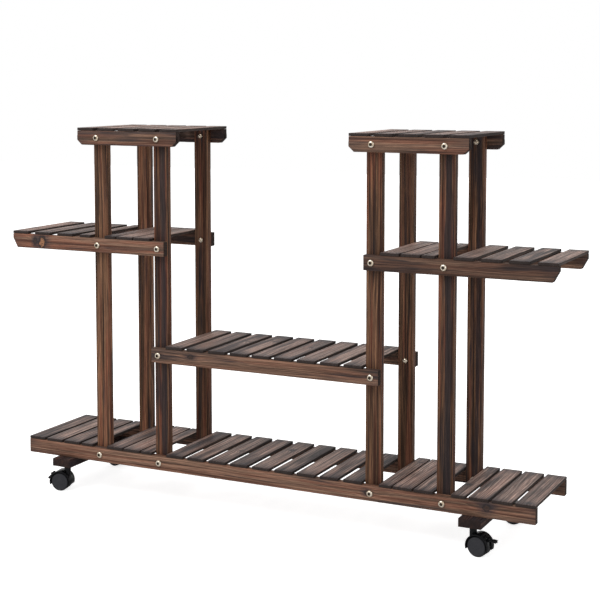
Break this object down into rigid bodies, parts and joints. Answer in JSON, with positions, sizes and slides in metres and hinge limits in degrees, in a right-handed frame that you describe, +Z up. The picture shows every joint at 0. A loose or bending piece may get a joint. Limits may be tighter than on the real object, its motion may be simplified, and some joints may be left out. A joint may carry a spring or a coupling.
{
  "type": "rolling plant stand",
  "caption": "Rolling flower stand of dark-stained slatted shelves on two stepped towers, carried on twin-wheel casters with brake pedals.",
  "frame": {"origin": "on the floor, under the middle of the stand", "axes": "+X along the stand to its right end, +Y from its front to its rear, +Z up"},
  "size_m": [1.2, 0.25, 0.777],
  "materials": {
    "shelf_wood": "charred and stained fir, brushed grain, satin oil",
    "post_wood": "charred and stained fir, vertical grain, satin oil",
    "beam_wood": "charred and stained fir, darkest, matt",
    "bolt_metal": "bright zinc-plated steel, domed heads",
    "hood_plastic": "black moulded plastic, satin",
    "wheel_plastic": "charcoal moulded plastic, matt",
    "pedal_plastic": "black moulded plastic"
  },
  "bodies": {
    "stand": {"bottom_shelf": "shelf_wood", "centre_shelf": "shelf_wood", "middle_shelf_left": "shelf_wood", "middle_shelf_right": "shelf_wood", "top_shelf_left": "shelf_wood", "top_shelf_right": "shelf_wood", "post_front_outer_left": "post_wood", "post_front_inner_left": "post_wood", "post_front_inner_right": "post_wood", "post_front_outer_right": "post_wood", "post_rear_outer_left": "post_wood", "post_rear_inner_left": "post_wood", "post_rear_inner_right": "post_wood", "post_rear_outer_right": "post_wood", "cross_beam_left": "beam_wood", "cross_beam_right": "beam_wood", "bolt_bottom_front_outer_left": "bolt_metal", "bolt_bottom_front_inner_left": "bolt_metal", "bolt_bottom_front_inner_right": "bolt_metal", "bolt_bottom_front_outer_right": "bolt_metal", "bolt_bottom_rear_outer_left": "bolt_metal", "bolt_bottom_rear_inner_left": "bolt_metal", "bolt_bottom_rear_inner_right": "bolt_metal", "bolt_bottom_rear_outer_right": "bolt_metal", "bolt_centre_front_inner_left": "bolt_metal", "bolt_centre_front_inner_right": "bolt_metal", "bolt_centre_rear_inner_left": "bolt_metal", "bolt_centre_rear_inner_right": "bolt_metal", "bolt_middle_front_outer_left": "bolt_metal", "bolt_middle_front_inner_left": "bolt_metal", "bolt_middle_front_inner_right": "bolt_metal", "bolt_middle_front_outer_right": "bolt_metal", "bolt_middle_rear_outer_left": "bolt_metal", "bolt_middle_rear_inner_left": "bolt_metal", "bolt_middle_rear_inner_right": "bolt_metal", "bolt_middle_rear_outer_right": "bolt_metal", "bolt_top_front_outer_left": "bolt_metal", "bolt_top_front_inner_left": "bolt_metal", "bolt_top_front_inner_right": "bolt_metal", "bolt_top_front_outer_right": "bolt_metal", "bolt_top_rear_outer_left": "bolt_metal", "bolt_top_rear_inner_left": "bolt_metal", "bolt_top_rear_inner_right": "bolt_metal", "bolt_top_rear_outer_right": "bolt_metal"},
    "caster_front_left": {"caster_hood_front_left": "hood_plastic"},
    "wheel_outer_front_left": {"wheel_outer_front_left": "wheel_plastic"},
    "wheel_inner_front_left": {"wheel_inner_front_left": "wheel_plastic"},
    "pedal_front_left": {"brake_pedal_front_left": "pedal_plastic"},
    "caster_front_right": {"caster_hood_front_right": "hood_plastic"},
    "wheel_outer_front_right": {"wheel_outer_front_right": "wheel_plastic"},
    "wheel_inner_front_right": {"wheel_inner_front_right": "wheel_plastic"},
    "pedal_front_right": {"brake_pedal_front_right": "pedal_plastic"},
    "caster_rear_left": {"caster_hood_rear_left": "hood_plastic"},
    "wheel_outer_rear_left": {"wheel_outer_rear_left": "wheel_plastic"},
    "wheel_inner_rear_left": {"wheel_inner_rear_left": "wheel_plastic"},
    "pedal_rear_left": {"brake_pedal_rear_left": "pedal_plastic"},
    "caster_rear_right": {"caster_hood_rear_right": "hood_plastic"},
    "wheel_outer_rear_right": {"wheel_outer_rear_right": "wheel_plastic"},
    "wheel_inner_rear_right": {"wheel_inner_rear_right": "wheel_plastic"},
    "pedal_rear_right": {"brake_pedal_rear_right": "pedal_plastic"}
  },
  "joints": [
    {"name": "swivel_front_left", "type": "hinge", "parent": "stand", "child": "caster_front_left", "pos_m": [-0.4675, -0.1025, 0.055], "axis": [0, 0, 1], "continuous": true},
    {"name": "spin_outer_front_left", "type": "hinge", "parent": "caster_front_left", "child": "wheel_outer_front_left", "pos_m": [-0.48022, -0.1052, 0.01975], "axis": [0.2079, -0.9781, 0], "continuous": true},
    {"name": "spin_inner_front_left", "type": "hinge", "parent": "caster_front_left", "child": "wheel_inner_front_left", "pos_m": [-0.48022, -0.1052, 0.01975], "axis": [0.2079, -0.9781, 0], "continuous": true},
    {"name": "pedal_front_left", "type": "hinge", "parent": "caster_front_left", "child": "pedal_front_left", "pos_m": [-0.50032, -0.10948, 0.03468], "axis": [0.2079, -0.9781, 0], "range_deg": [-40, 0]},
    {"name": "swivel_front_right", "type": "hinge", "parent": "stand", "child": "caster_front_right", "pos_m": [0.445, -0.1025, 0.055], "axis": [0, 0, 1], "continuous": true},
    {"name": "spin_outer_front_right", "type": "hinge", "parent": "caster_front_right", "child": "wheel_outer_front_right", "pos_m": [0.45787, -0.10431, 0.01975], "axis": [0.1392, 0.9903, 0], "continuous": true},
    {"name": "spin_inner_front_right", "type": "hinge", "parent": "caster_front_right", "child": "wheel_inner_front_right", "pos_m": [0.45787, -0.10431, 0.01975], "axis": [0.1392, 0.9903, 0], "continuous": true},
    {"name": "pedal_front_right", "type": "hinge", "parent": "caster_front_right", "child": "pedal_front_right", "pos_m": [0.47822, -0.10717, 0.03468], "axis": [0.1392, 0.9903, 0], "range_deg": [0, 40]},
    {"name": "swivel_rear_left", "type": "hinge", "parent": "stand", "child": "caster_rear_left", "pos_m": [-0.4675, 0.1025, 0.055], "axis": [0, 0, 1], "continuous": true},
    {"name": "spin_outer_rear_left", "type": "hinge", "parent": "caster_rear_left", "child": "wheel_outer_rear_left", "pos_m": [-0.48022, 0.1052, 0.01975], "axis": [-0.2079, -0.9781, 0], "continuous": true},
    {"name": "spin_inner_rear_left", "type": "hinge", "parent": "caster_rear_left", "child": "wheel_inner_rear_left", "pos_m": [-0.48022, 0.1052, 0.01975], "axis": [-0.2079, -0.9781, 0], "continuous": true},
    {"name": "pedal_rear_left", "type": "hinge", "parent": "caster_rear_left", "child": "pedal_rear_left", "pos_m": [-0.50032, 0.10948, 0.03468], "axis": [-0.2079, -0.9781, 0], "range_deg": [0, 40]},
    {"name": "swivel_rear_right", "type": "hinge", "parent": "stand", "child": "caster_rear_right", "pos_m": [0.445, 0.1025, 0.055], "axis": [0, 0, 1], "continuous": true},
    {"name": "spin_outer_rear_right", "type": "hinge", "parent": "caster_rear_right", "child": "wheel_outer_rear_right", "pos_m": [0.45772, 0.1052, 0.01975], "axis": [-0.2079, 0.9781, 0], "continuous": true},
    {"name": "spin_inner_rear_right", "type": "hinge", "parent": "caster_rear_right", "child": "wheel_inner_rear_right", "pos_m": [0.45772, 0.1052, 0.01975], "axis": [-0.2079, 0.9781, 0], "continuous": true},
    {"name": "pedal_rear_right", "type": "hinge", "parent": "caster_rear_right", "child": "pedal_rear_right", "pos_m": [0.47782, 0.10948, 0.03468], "axis": [-0.2079, 0.9781, 0], "range_deg": [0, 40]}
  ]
}
